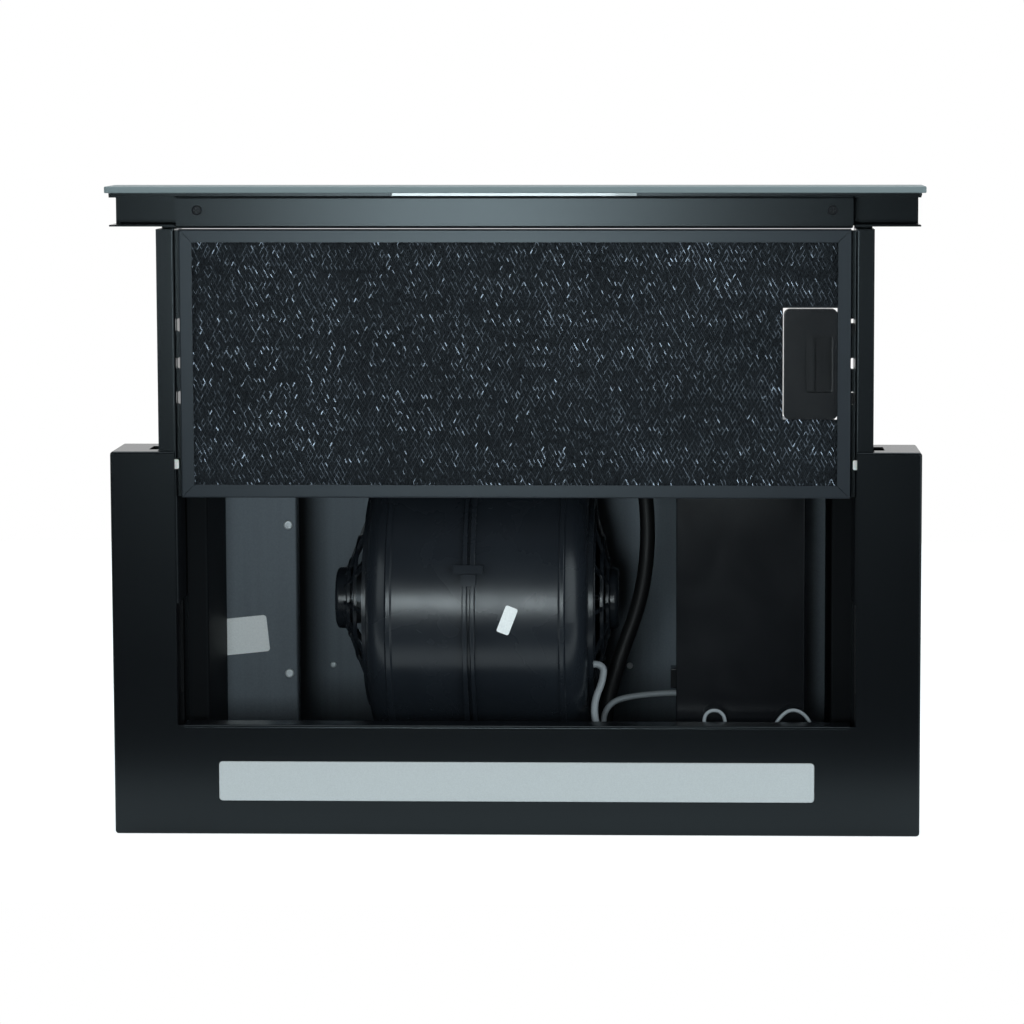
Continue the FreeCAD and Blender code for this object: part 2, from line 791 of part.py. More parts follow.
def filter_mesh():
    """Pack of expanded metal, crimped into shallow folds that run along X."""
    low, high = mesh_limits()
    side = filter_side - filter_steel - filter_fit
    end = filter_steel + filter_fit
    start = filter_rear + end
    stop = filter_top - end
    step = (stop - start) / (2 * mesh_folds)
    near = [(low + mesh_fold_depth * (i % 2), start + step * i) for i in range(2 * mesh_folds + 1)]
    far = [(y + high - low - mesh_fold_depth, z) for y, z in near]
    pack = prism("X", -side, side, near + far[::-1])
    left, right = latch_x()
    half = latch_length / 2 + filter_fit
    window = block((left - filter_fit, side + 10), (low - 1, high + 1), (latch_z - half, latch_z + half),
                   latch_corner, "Y")
    return pack.cut(window)


def prong_low():
    """Near face of the plate that carries the latch's prongs."""
    return filter_level + latch_sink + recess_depth + recess_floor + prong_clear


def slot_x():
    right = latch_x()[1] - slot_inset
    return right - slot_width, right


def latch_housing():
    """Handle plate with the finger recess; its tongue sits in the right frame member."""
    left, right = latch_x()
    near = filter_level + latch_sink
    far = filter_level + filter_thickness - 0.3
    low, high = mesh_limits()
    half = latch_length / 2
    shell = block((left, right), (near, far), (latch_z - half, latch_z + half), latch_corner, "Y")
    rim = [e for e in shell.Edges if e.BoundBox.YMax < near + 0.01]
    shell = shell.makeFillet(0.6, rim)
    hollow = block((left + latch_wall, right - latch_wall), (near + latch_wall, far + 1),
                   (latch_z - half + latch_wall, latch_z + half - latch_wall), latch_corner - latch_wall, "Y")
    shell = shell.cut(hollow)
    tongue = block((right - 0.2, filter_side - filter_steel - filter_fit), (low, high),
                   (latch_z - half + 2, latch_z + half - 2))
    shell = shell.fuse(tongue)
    slot_left, slot_right = slot_x()
    half_slot = slot_length / 2
    z_slot = (latch_z - half_slot, latch_z + half_slot)
    basin_left = slot_left + slider_width + slider_fit
    basin = block((basin_left - recess_floor, slot_right + recess_floor),
                  (near + 0.4, near + recess_depth + recess_floor),
                  (z_slot[0] - recess_floor, z_slot[1] + recess_floor), slot_corner, "Y")
    cavity = block((basin_left, slot_right), (near, near + recess_depth), z_slot, slot_corner - 0.8, "Y")
    opening = block((slot_left, slot_right), (near - 1, near + latch_wall + 0.2), z_slot, slot_corner, "Y")
    shell = shell.fuse(basin).cut(cavity).cut(opening)
    mark_x = (basin_left + slot_right) / 2
    mark_z = latch_z - push_mark_drop
    mark = rod("Y", mark_x, mark_z, push_mark_radius, near + recess_depth - push_mark_height,
               near + recess_depth + 0.01)
    mark = mark.cut(rod("Y", mark_x, mark_z, push_mark_radius - push_mark_wall, 0, far))
    shell = shell.fuse(mark)
    for way in (-0.5, 0.5):
        z = latch_z + way * prong_spacing
        half_prong = prong_width / 2 + slider_fit
        track = block((left + latch_wall, filter_side), (prong_low() - 0.25, far + 1),
                      (z - half_prong, z + half_prong))
        shell = shell.cut(track)
    reach = latch_travel + 0.5
    sweep = block((slot_left - reach - 0.4, basin_left - 0.2), (near + latch_wall, far + 1),
                  (z_slot[0] - 0.4, z_slot[1] + 0.4))
    return shell.cut(sweep).removeSplitter()


def latch_slider():
    """Ridged finger slider on a plate with two prongs; pulled towards the filter's middle."""
    slot_left = slot_x()[0]
    near = filter_level + latch_sink
    plate_low = prong_low()
    half = slot_length / 2 - slider_fit
    top = near + latch_wall + 2 * ridge_radius
    body = block((slot_left + 0.1, slot_left + slider_width), (top, plate_low + 0.2),
                 (latch_z - half, latch_z + half), 1.0, "Y")
    ridges = []
    for i in range(ridge_count):
        x = slot_left + 1.4 + i * 1.7
        ridges.append(rod("Z", x, top, ridge_radius, latch_z - half + 1.2,
                          latch_z + half - 1.2))
    spread = prong_spacing / 2 + prong_width / 2
    plate_x = slot_left - 1.0
    plate = block((plate_x, plate_x + 10), (plate_low, plate_low + prong_thickness),
                  (latch_z - spread, latch_z + spread), 1.5, "Y")
    tip = arm_inner - 0.3
    prongs = []
    for way in (-0.5, 0.5):
        z = latch_z + way * prong_spacing
        prongs.append(block((plate_x + 1, tip), (plate_low, plate_low + prong_thickness),
                            (z - prong_width / 2, z + prong_width / 2), 1.2, "Y"))
    return body.fuse(ridges + [plate] + prongs).removeSplitter()


# ---------------------------------------------------------------- strip lamp
def lamp_diffuser():
    half = lamp_width / 2 - lamp_fit
    z = (lamp_rear + lamp_fit, lamp_rear + lamp_length - lamp_fit)
    skin = block((-half, half), (0, lamp_skirt), z, lamp_corner - lamp_fit, "Y")
    near = [e for e in skin.Edges if e.BoundBox.YMax < 0.01]
    skin = skin.makeFillet(0.6, near)
    hollow = block((-half + lamp_skin, half - lamp_skin), (lamp_skin, lamp_skirt + 1),
                   (z[0] + lamp_skin, z[1] - lamp_skin), 0.8, "Y")
    return skin.cut(hollow)


def lamp_housing():
    wall = lamp_housing_wall
    half = lamp_width / 2 + 1 + wall
    z = (lamp_rear - 1 - wall, lamp_rear + lamp_length + 1 + wall)
    case = block((-half, half), (steel, lamp_housing_height), z, 3.0, "Y")
    hollow = block((-half + wall, half - wall), (0, lamp_housing_height - wall),
                   (z[0] + wall, z[1] - wall), 2.0, "Y")
    rim = block((-half - lamp_housing_flange, half + lamp_housing_flange), (steel, 2 * steel),
                (z[0] - lamp_housing_flange, z[1] + lamp_housing_flange), 4.0, "Y")
    return case.fuse(rim).cut(hollow).removeSplitter()


def lamp_board():
    """Board that stands on the diffuser's skirt, with its light chips in one row."""
    half = lamp_width / 2
    z_mid = lamp_rear + lamp_length / 2
    low = lamp_skirt
    board = block((-half, half), (low, low + lamp_board_thickness),
                  (lamp_rear + 0.5, lamp_rear + lamp_length - 0.5), 1.0, "Y")
    pitch = lamp_width / lamp_chips
    chips = []
    for i in range(lamp_chips):
        x = -half + pitch * (i + 0.5)
        chips.append(block((x - lamp_chip / 2, x + lamp_chip / 2), (low - lamp_chip_height, low),
                           (z_mid - lamp_chip / 2, z_mid + lamp_chip / 2)))
    return board.fuse(chips)


def lamp_driver():
    z = lamp_rear + lamp_length / 2
    half = driver_length / 2
    return block((driver_x, driver_x + driver_width),
                 (lamp_housing_height, lamp_housing_height + driver_height), (z - half, z + half), 3.0, "Y")


# ---------------------------------------------------------------- blower
def blower_half(half_length):
    """Right half of the housing: drum, rounded shoulder, inlet ring and half the outlet spigot."""
    start = seam_gap / 2
    outer_end = half_length + shoulder
    inner = drum_radius - drum_wall
    shell = turned([
        (0, drum_radius), (outer_end, drum_radius, shoulder), (outer_end, inlet_ring_radius),
        (outer_end + inlet_ring_height, inlet_ring_radius), (outer_end + inlet_ring_height, inlet_radius),
        (outer_end - drum_wall, inlet_radius), (outer_end - drum_wall, inner, shoulder - drum_wall),
        (0, inner)])
    stop = start + seam_rib_width
    top = drum_radius + seam_rib_height
    rib = turned([(start, drum_radius - 0.5), (start, top, 0.8), (stop, top, 0.8), (stop, drum_radius - 0.5)])
    crest = drum_radius + end_rib_height
    far_side = half_length + end_rib_width
    end_rib = turned([
        (half_length - end_rib_slope, drum_radius - 0.5), (half_length, crest, 0.5),
        (far_side, crest, 0.5), (far_side + end_rib_slope, drum_radius - 1.5)])
    neck_base = blower_y + math.sqrt(inner ** 2 - spigot_radius ** 2) - 10
    spigot = rod("Y", blower_x, blower_z, spigot_radius, neck_base, chamber_ceiling)
    flange = rod("Y", blower_x, blower_z, spigot_radius + spigot_flange,
                 chamber_ceiling - spigot_flange_height, chamber_ceiling)
    core = turned([(-1, 0), (-1, inner), (outer_end - drum_wall, inner, shoulder - drum_wall),
                   (outer_end - drum_wall, 0)])
    bore = rod("Y", blower_x, blower_z, spigot_radius - drum_wall, blower_y, chamber_ceiling + 1)
    shell = shell.fuse([rib, end_rib, spigot, flange]).cut(core).cut(bore)
    far = 2 * drum_radius
    keep = block((blower_x, blower_x + far), (blower_y - far, blower_y + far),
                 (blower_z - far, blower_z + far))
    return shell.common(keep).removeSplitter()


def seam_clamp():
    """Lug and clamp on the seam's near side, standing on the two seam ribs."""
    crest = drum_radius + seam_rib_height
    lug = rod("X", blower_y, blower_z, crest + clamp_height, blower_x - lug_width / 2,
              blower_x + lug_width / 2)
    lug = lug.cut(rod("X", blower_y, blower_z, crest + 0.02, blower_x - lug_width, blower_x + lug_width))
    window = block((blower_x - lug_width, blower_x + lug_width), (0, blower_y),
                   (lug_z - lug_length / 2, lug_z + lug_length / 2))
    clamp = rod("X", blower_y, blower_z, crest + clamp_height - 1, blower_x - clamp_width / 2,
                blower_x + clamp_width / 2)
    clamp = clamp.cut(rod("X", blower_y, blower_z, crest + 0.02, blower_x - lug_width, blower_x + lug_width))
    pocket = block((blower_x - lug_width, blower_x + lug_width), (0, blower_y),
                   (clamp_z - clamp_length / 2, clamp_z + clamp_length / 2))
    return lug.common(window).fuse(clamp.common(pocket))


def inlet_grille(half_length, motor_side):
    """Domed grille of rings and radial ribs round a hub; the hub carries the motor or a bearing."""
    lift = (drum_half - half_length) / len(grille_rings)
    count = len(grille_rings)
    steps = [(radius, reach - lift * (count - i)) for i, (radius, reach) in enumerate(grille_rings)]
    rings = []
    for radius, reach in steps:
        rings.append(turned([(reach, radius - grille_bar / 2), (reach, radius + grille_bar / 2),
                             (reach + grille_bar, radius + grille_bar / 2, 1.0),
                             (reach + grille_bar, radius - grille_bar / 2, 1.0)]))
    rim_base = half_length + shoulder + inlet_ring_height
    rim_inner = grille_rings[0][0] - grille_bar / 2
    rim_outer = inlet_ring_radius - grille_bar / 2
    rim_top = rim_base + grille_rim
    rim = turned([(rim_base, rim_inner), (rim_base, rim_outer), (rim_top, rim_outer), (rim_top, rim_inner)])
    dome = [(reach, radius) for radius, reach in steps] + [(hub_base + 4, hub_radius - 1)]
    back = [(reach + grille_bar - 0.4, radius) for reach, radius in dome]
    profile = [(blower_x + reach, blower_y - radius) for reach, radius in dome + back[::-1]]
    rib = Part.Face(outline("Z", blower_z - grille_bar / 2, profile)).extrude(Vector(0, 0, grille_bar))
    ribs = []
    for i in range(grille_ribs):
        copy = rib.copy()
        copy.rotate(Vector(blower_x, blower_y, blower_z), DIRECTION["X"], 360.0 * i / grille_ribs)
        ribs.append(copy)
    hub = turned([(hub_base, 0), (hub_base, hub_radius), (hub_reach, hub_radius, 3.0), (hub_reach, 0)])
    grille = rings[0].fuse(rings[1:] + [rim, hub] + ribs).removeSplitter()
    if not motor_side:
        bore = shaft_radius + running_fit
        grille = grille.cut(rod("X", blower_y, blower_z, bore, blower_x + hub_base - 1,
                                blower_x + hub_base + bearing_depth))
    return grille_pieces(grille)


def grille_pieces(grille):
    """The grille as outer ring, centre and the ribs that join them."""
    ends = (blower_x - hub_reach, blower_x + hub_reach + 1)
    eye = rod("X", blower_y, blower_z, grille_rings[0][0] - grille_bar / 2, *ends)
    middle = rod("X", blower_y, blower_z, grille_rings[1][0] + grille_bar / 2, *ends)
    ribs = grille.common(eye).cut(middle).Solids
    return Part.makeCompound([grille.cut(eye), grille.common(middle)] + ribs)


def fan_motor():
    """Motor can inside the left half of the wheel, held by the grille's hub through its neck."""
    can = turned([(motor_near, 0), (motor_near, motor_radius, motor_corner),
                  (motor_far, motor_radius, motor_corner), (motor_far, motor_neck_radius),
                  (hub_base, motor_neck_radius), (hub_base, 0)])
    bore = rod("X", blower_y, blower_z, shaft_radius + running_fit, blower_x + motor_near - 1,
               blower_x + motor_far - 10)
    slots = []
    for i in range(12):
        slot = block((blower_x + motor_near + 12, blower_x + motor_far - 12),
                     (blower_y + motor_radius - 2.5, blower_y + motor_radius + 1),
                     (blower_z - 4, blower_z + 4))
        slot.rotate(Vector(blower_x, blower_y, blower_z), DIRECTION["X"], 30.0 * i + 15)
        slots.append(slot)
    return mirrored(can.cut(bore).cut(slots[0].fuse(slots[1:])), blower_x)


def wheel_blade():
    """Forward-curved blade between the wheel's two radii, as long as the gap between its rings."""
    half = wheel_half - wheel_ring

    def polar(radius, angle):
        turn = math.radians(angle)
        return Vector(blower_x - half, blower_y + radius * math.cos(turn),
                      blower_z + radius * math.sin(turn))

    inner = wheel_inner_radius
    outer = wheel_radius - 1
    middle = (inner + outer) / 2
    thick = math.degrees(blade_thickness / middle)
    side_a = Part.Arc(polar(inner, 0), polar(middle, blade_bow), polar(outer, blade_sweep))
    side_b = Part.Arc(polar(outer, blade_sweep + thick), polar(middle, blade_bow + thick),
                      polar(inner, thick))
    edges = [side_a.toShape(),
             Part.LineSegment(polar(outer, blade_sweep), polar(outer, blade_sweep + thick)).toShape(),
             side_b.toShape(),
             Part.LineSegment(polar(inner, thick), polar(inner, 0)).toShape()]
    return Part.Face(Part.Wire(edges)).extrude(Vector(2 * half, 0, 0))


def impeller():
    """Double-inlet wheel riveted up from a disc with its hub, two end rings and the blades."""
    half = wheel_disc / 2
    rim = wheel_inner_radius - running_fit
    disc = turned([(-half, 0), (-half, rim), (half, rim), (half, 0)])
    hub = turned([(-half, 0), (-half, wheel_hub_radius), (wheel_hub_half, wheel_hub_radius, 2.0),
                  (wheel_hub_half, 0)])
    rings = []
    for way in (-1, 1):
        a, b = sorted((way * (wheel_half - wheel_ring), way * (wheel_half + 0.5)))
        rings.append(turned([(a, wheel_inner_radius - 1), (a, wheel_radius), (b, wheel_radius),
                             (b, wheel_inner_radius - 1)]))
    blade = wheel_blade()
    blades = []
    for i in range(blade_count):
        copy = blade.copy()
        copy.rotate(Vector(blower_x, blower_y, blower_z), DIRECTION["X"], 360.0 * i / blade_count)
        blades.append(copy)
    bore = rod("X", blower_y, blower_z, shaft_radius, blower_x - 20, blower_x + 20)
    centre = disc.fuse(hub).cut(bore).removeSplitter()
    return Part.makeCompound([centre] + rings + blades)


def motor_shaft():
    left = blower_x - motor_far + 12
    right = blower_x + hub_base + bearing_depth - 1
    return rod("X", blower_y, blower_z, shaft_radius, left, right)


def blower_sticker():
    """Blank white sticker wrapped on the drum, turned against the axis."""
    x = sticker_x
    z = sticker_z
    crest = drum_radius + 0.02
    skin = rod("X", blower_y, blower_z, crest + sticker_thickness, x - 30, x + 30)
    skin = skin.cut(rod("X", blower_y, blower_z, crest, x - 31, x + 31))
    half_w = sticker_width / 2
    half_l = sticker_length / 2
    cutter = block((x - half_w, x + half_w), (0, blower_y), (z - half_l, z + half_l), 1.5, "Y")
    cutter.rotate(Vector(x, 0, z), DIRECTION["Y"], sticker_turn)
    return skin.common(cutter)


# ---------------------------------------------------------------- outlet
def outlet_collar():
    low = chamber_top
    outer = rod("Y", blower_x, blower_z, collar_radius, low, low + collar_height)
    flange = rod("Y", blower_x, blower_z, collar_radius + collar_flange, low, low + collar_flange_height)
    bore = rod("Y", blower_x, blower_z, collar_radius - collar_wall, low - 1, low + collar_height + 1)
    stop_top = low + flap_level - flap_stop_gap - flap_thickness / 2
    stop = rod("Y", blower_x, blower_z, collar_radius - collar_wall, stop_top - flap_stop_height, stop_top)
    stop = stop.cut(rod("Y", blower_x, blower_z, collar_radius - collar_wall - flap_stop_width, low,
                        low + collar_height))
    bar = rod("Z", blower_x, low + flap_level, flap_bar_radius, blower_z - collar_radius + collar_wall / 2,
              blower_z + collar_radius - collar_wall / 2)
    return outer.fuse(flange).cut(bore).fuse([stop, bar]).removeSplitter()


def flap(side):
    """Half-disc flap hinged on the collar's bar; side -1 is the left flap."""
    level = chamber_top + flap_level
    radius = collar_radius - collar_wall - flap_gap
    disc = rod("Y", blower_x, blower_z, radius, level - flap_thickness / 2, level + flap_thickness / 2)
    edge = knuckle_radius + 0.6
    half = block(sorted((blower_x + side * edge, blower_x + side * 2 * radius)), (0, 2 * level),
                 (blower_z - 2 * radius, blower_z + 2 * radius))
    disc = disc.common(half)
    pieces = []
    shift = 0.0 if side < 0 else knuckle_length + knuckle_gap
    for way in (-1, 1):
        start = blower_z + way * knuckle_pitch / 2 + shift - knuckle_length
        end = start + knuckle_length
        pieces.append(rod("Z", blower_x, level, knuckle_radius, start, end))
        pieces.append(block(sorted((blower_x, blower_x + side * (edge + 2))),
                            (level - flap_thickness / 2, level + flap_thickness / 2), (start, end)))
    hole = rod("Z", blower_x, level, flap_bar_radius + running_fit, blower_z - radius, blower_z + radius)
    return disc.fuse(pieces).cut(hole).removeSplitter()


# ---------------------------------------------------------------- electronics
def electronics_cover():
    x = (box_left, box_right)
    z = (box_rear, cover_top)
    lid = block(x, (box_level, box_level + cover_height), z, cover_corner, "Y")
    near = [e for e in lid.Edges if e.BoundBox.YMax < box_level + 0.01]
    lid = lid.makeFillet(1.5, near)
    hollow = block((x[0] + cover_wall, x[1] - cover_wall),
                   (box_level + cover_wall, box_level + cover_height + 1),
                   (z[0] + cover_wall, z[1] - cover_wall), cover_corner - cover_wall, "Y")
    return lid.cut(hollow)


def electronics_box():
    gap = cover_wall + cover_fit
    x = (box_left + gap, box_right - gap)
    z = (box_rear + gap, cover_top - gap)
    top = box_level + cover_wall + cover_fit
    case = block(x, (top, plate_level), z, 2.5, "Y")
    hollow = block((x[0] + box_wall, x[1] - box_wall), (top - 1, plate_level - box_wall),
                   (z[0] + box_wall, z[1] - box_wall), 1.5, "Y")
    step = block((box_left, x[0] + 0.5), (box_level + cover_height + 0.5, box_level + cover_height + 2.5), z)
    return case.cut(hollow).fuse(step).removeSplitter()


def board_limits():
    gap = cover_wall + cover_fit + box_wall + 1.0
    x = (box_left + gap, box_right - gap)
    z = (box_rear + gap, cover_top - gap)
    return x, z


def control_board():
    """Circuit board on four posts that stand on the box's floor."""
    x, z = board_limits()
    floor = plate_level - box_wall
    level = floor - board_standoff
    board = block(x, (level - board_thickness, level), z, 2.0, "Y")
    posts = []
    for u in (x[0] + 6, x[1] - 6):
        for v in (z[0] + 6, z[1] - 6):
            posts.append(rod("Y", u, v, 3.0, level - board_thickness, floor))
    chips = [block((x[0] + left, x[0] + left + wide), (level - high, level - board_thickness),
                   (z[0] + rear, z[0] + rear + deep)) for left, rear, wide, deep, high in board_parts]
    return board.fuse(posts + chips)


def capacitor():
    x, z = board_limits()
    level = plate_level - box_wall - board_standoff - board_thickness
    end = z[1] - capacitor_inset
    can = rod("Z", x[1] - 8 - capacitor_radius, level - capacitor_radius - 0.05, capacitor_radius,
              end - capacitor_length, end)
    return can.makeFillet(1.5, [e for e in can.Edges if e.Closed and e.Curve.TypeId == "Part::GeomCircle"])


def terminal_block():
    x, z = board_limits()
    level = plate_level - box_wall - board_standoff - board_thickness
    start = x[0] + terminal_inset
    rear = z[0] + terminal_inset
    body = block((start, start + terminal_length), (level - terminal_depth, level),
                 (rear, rear + terminal_width), 1.0, "Y")
    pitch = terminal_length / terminal_ways
    entry = level - terminal_depth
    middle = rear + terminal_width / 2
    holes = [rod("Y", start + pitch * (i + 0.5), middle, terminal_hole, entry - 1, entry + 6)
             for i in range(terminal_ways)]
    return body.cut(holes[0].fuse(holes[1:]))


def cable_socket():
    x = box_left + cover_wall + cover_fit
    low = box_level + cover_height + 4
    return block((x - socket_width - 1, x), (low, low + socket_depth),
                 (socket_z - socket_length / 2, socket_z + socket_length / 2), 0.8, "X")


# ---------------------------------------------------------------- fasteners and small pieces
def case_screws():
    """Screws on the mounting plates and round the outlet collar."""
    heads = []
    for x, z in left_screws:
        heads.append(pan_head("Y", -liner_side + x, z, plate_level, -1))
    for x, z in right_screws:
        heads.append(pan_head("Y", liner_side - x, z, plate_level, -1))
    half = collar_screw_spacing / 2
    for u in (-half, half):
        for v in (-half, half):
            heads.append(pan_head("Y", blower_x + u, blower_z + v, chamber_top + collar_flange_height, 1))
    return Part.makeCompound(heads)


def panel_rivets():
    """Four rivets through the chamber's ceiling, a head on each side of the sheet."""
    rivets = []
    for u in (-0.5, 0.5):
        for v in (-0.5, 0.5):
            x = rivet_x + u * rivet_spacing_x
            z = blower_z + v * rivet_spacing_z
            low = rod("Y", x, z, rivet_radius, chamber_ceiling - rivet_head, chamber_ceiling)
            rim = min(low.Edges, key=lambda e: e.CenterOfMass.y)
            rivets.append(low.makeFillet(rivet_head * 0.8, [rim]))
            high = rod("Y", x, z, rivet_radius, chamber_top, chamber_top + rivet_head)
            rim = max(high.Edges, key=lambda e: e.CenterOfMass.y)
            rivets.append(high.makeFillet(rivet_head * 0.8, [rim]))
    return Part.makeCompound(rivets)


def plate_label():
    """Blank label, turned a little and tucked against the left liner."""
    x = -liner_face + label_shows - label_width / 2
    z = label_z
    label = block((x - label_width / 2, x + label_width / 2), (plate_level - label_thickness, plate_level),
                  (z - label_length / 2, z + label_length / 2), 2.5, "Y")
    label.rotate(Vector(x, 0, z), DIRECTION["Y"], -label_tilt)
    return label.common(block((-liner_face + 0.05, 0), (0, plate_level), (0, chamber_length)))


def cable_gland():
    """Inlet for the mains lead: a threaded body through the ceiling with a nut, open right through."""
    low = chamber_ceiling - chamber_steel - 4
    body = rod("Y", gland_x, gland_z, gland_radius - 0.1, low, chamber_top + gland_height)
    corners = []
    for i in range(6):
        turn = math.radians(60 * i)
        corners.append((gland_x + gland_nut_radius * math.cos(turn),
                        gland_z + gland_nut_radius * math.sin(turn)))
    nut = prism("Y", chamber_top, chamber_top + gland_nut_height, corners)
    inner_nut = rod("Y", gland_x, gland_z, gland_nut_radius, low, chamber_ceiling - 0.05)
    bore = rod("Y", gland_x, gland_z, gland_bore, low - 1, chamber_top + gland_height + 1)
    return body.fuse([nut, inner_nut]).cut(bore).removeSplitter()


# ---------------------------------------------------------------- inner cables
def grille_face():
    """Where a cable meets the right grille's rim, just clear of it."""
    return blower_x + drum_half + shoulder + inlet_ring_height + grille_rim + 0.05


def routed(points, x):
    """Route points whose first numbers are distances from x."""
    return tuple((x + p[0], p[1], p[2]) for p in points)


def driver_face():
    """Near face of what a cable meets on the lamp driver."""
    return lamp_housing_height + driver_height + 0.05


def motor_cable():
    """From the grille's rim down to the lamp driver."""
    x, y, z = motor_cable_upper[0]
    start = ((grille_face(), y, z),)
    last = motor_cable_lower[-1]
    end = ((driver_x + last[0], driver_face(), last[2]),)
    points = start + routed(motor_cable_upper, grille_face()) + routed(motor_cable_lower, driver_x) + end
    return cable("motor_cable", points, cable_diameter)


def lamp_cable():
    """From the lamp driver up to the electronics box's left wall."""
    x, y, z = lamp_cable_lower[0]
    start = ((driver_x + x, driver_face(), z),)
    upper = routed(lamp_cable_upper, grille_face())
    near_wall = routed((lamp_cable_end,), box_left)
    wall = ((box_left + cover_wall + cover_fit - 0.05, lamp_cable_end[1], lamp_cable_end[2]),)
    points = start + routed(lamp_cable_lower, driver_x) + upper + near_wall + wall
    return cable("lamp_cable", points, lead_diameter)


def lamp_lead():
    """Thin lead from the lamp housing's right end, looped twice behind the tray's lip, to the driver."""
    x, y, z = lamp_lead_arch[0]
    end = lamp_width / 2
    start = ((end + x, lamp_housing_height + 0.05, z),)
    driver_right = driver_x + driver_width
    last = lamp_lead_hump[-1]
    driver_top = lamp_rear + (lamp_length + driver_length) / 2 + 0.05
    points = start + routed(lamp_lead_arch, end) + routed(lamp_lead_hump, driver_right)
    return cable("lamp_lead", points + ((driver_right + last[0], last[1], driver_top),), lamp_lead_diameter)


def cable_sleeve():
    """Black sleeve from the chamber's front wall past the right grille to the rear wall."""
    lane = (blower_x + hub_reach + box_left) / 2
    x, y, z = sleeve_upper[0]
    start = ((lane + x, y, chamber_length - chamber_steel - 0.05),)
    x, y, z = sleeve_lower[-1]
    end = ((grille_face() + x, y, chamber_steel + 0.05),)
    points = start + routed(sleeve_upper, lane) + routed(sleeve_lower, grille_face()) + end
    return cable("cable_sleeve", points, sleeve_diameter)


# ---------------------------------------------------------------- the whole hood
PIECES = {
    "tray_shell": tray_shell,
    "motor_chamber": motor_chamber,
    "side_liner_left": lambda: mirrored(side_liner()),
    "side_liner_right": side_liner,
    "mounting_plate_left": lambda: mirrored(mounting_plate(left_plate_width, left_plate_rear, 0)),
    "mounting_plate_right": lambda: mounting_plate(right_plate_width, right_plate_rear, plate_corner),
    "case_screws": case_screws,
    "plate_label": plate_label,
    "electronics_box": electronics_box,
    "electronics_cover": electronics_cover,
    "control_board": control_board,
    "capacitor": capacitor,
    "terminal_block": terminal_block,
    "cable_socket": cable_socket,
    "lamp_diffuser": lamp_diffuser,
    "lamp_board": lamp_board,
    "lamp_housing": lamp_housing,
    "lamp_driver": lamp_driver,
    "rail_bracket_left": lambda: mirrored(rail_bracket()),
    "rail_bracket_right": rail_bracket,
    "fixed_rail_left": lambda: mirrored(fixed_rail()),
    "fixed_rail_right": fixed_rail,
    "glide_left": lambda: mirrored(glide()),
    "glide_right": glide,
    "blower_half_left": lambda: mirrored(blower_half(drum_half - left_shortening), blower_x),
    "blower_half_right": lambda: blower_half(drum_half),
    "seam_clamp": seam_clamp,
    "inlet_grille_left": lambda: mirrored(inlet_grille(drum_half - left_shortening, True), blower_x),
    "inlet_grille_right": lambda: inlet_grille(drum_half, False),
    "fan_motor": fan_motor,
    "blower_sticker": blower_sticker,
    "panel_rivets": panel_rivets,
    "outlet_collar": outlet_collar,
    "cable_gland": cable_gland,
    "motor_cable": motor_cable,
    "lamp_cable": lamp_cable,
    "cable_sleeve": cable_sleeve,
    "lamp_lead": lamp_lead,
    "impeller": impeller,
    "motor_shaft": motor_shaft,
    "flap_left": lambda: flap(-1),
    "flap_right": lambda: flap(1),
    "middle_rail_left": lambda: mirrored(middle_rail()),
    "middle_rail_right": middle_rail,
    "drawer_rail_left": lambda: mirrored(drawer_rail()),
    "drawer_rail_right": drawer_rail,
    "side_arm_left": lambda: mirrored(side_arm()),
    "side_arm_right": side_arm,
    "crossbar": crossbar,
    "end_bracket_left": lambda: mirrored(end_bracket()),
    "end_bracket_right": end_bracket,
    "front_plate": front_plate,
    "glass_front": glass_front,
    "touch_module": touch_module,
    "crossbar_screws": crossbar_screws,
    "filter_frame": filter_frame,
    "filter_mesh": filter_mesh,
    "latch_housing": latch_housing,
    "latch_slider": latch_slider,
}

os.makedirs("parts", exist_ok=True)
for name, build in PIECES.items():
    shape = build()
    shape.translate(Vector(0, -middle_level, 0))
    shape.exportStep(os.path.join("parts", name + ".step"))
    print(name, len(shape.Solids), "solids, valid", shape.isValid(), "volume", round(shape.Volume))
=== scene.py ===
import json
import math

import bpy
import numpy as np
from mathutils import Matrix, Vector


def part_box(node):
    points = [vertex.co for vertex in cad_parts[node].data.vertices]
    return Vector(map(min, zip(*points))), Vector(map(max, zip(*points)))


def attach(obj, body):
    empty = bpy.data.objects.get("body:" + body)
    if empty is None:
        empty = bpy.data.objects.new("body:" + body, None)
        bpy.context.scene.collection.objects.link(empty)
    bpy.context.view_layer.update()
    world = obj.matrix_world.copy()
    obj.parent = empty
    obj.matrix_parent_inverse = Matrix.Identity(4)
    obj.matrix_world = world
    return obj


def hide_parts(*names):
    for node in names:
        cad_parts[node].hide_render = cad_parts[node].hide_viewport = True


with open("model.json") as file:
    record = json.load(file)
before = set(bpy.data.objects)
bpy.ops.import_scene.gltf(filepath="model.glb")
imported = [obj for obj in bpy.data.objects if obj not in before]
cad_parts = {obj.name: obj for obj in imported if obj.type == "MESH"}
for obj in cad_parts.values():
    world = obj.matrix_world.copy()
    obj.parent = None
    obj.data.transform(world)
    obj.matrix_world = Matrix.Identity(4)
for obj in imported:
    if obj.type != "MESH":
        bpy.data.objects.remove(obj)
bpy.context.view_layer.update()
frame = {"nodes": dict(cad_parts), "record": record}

# Pull-out cooker hood seen from its underside, standing on its wall face.
# Millimetres below are measured as the hood is drawn: y = 0 on the underside, z = 0 on the wall face.
UNDERSIDE = -0.1525
nodes = frame["nodes"]


def place(points):
    """Millimetres of the drawing to metres of the shared frame."""
    return np.asarray(points, float) / 1000.0 + np.array((0.0, UNDERSIDE, 0.0))


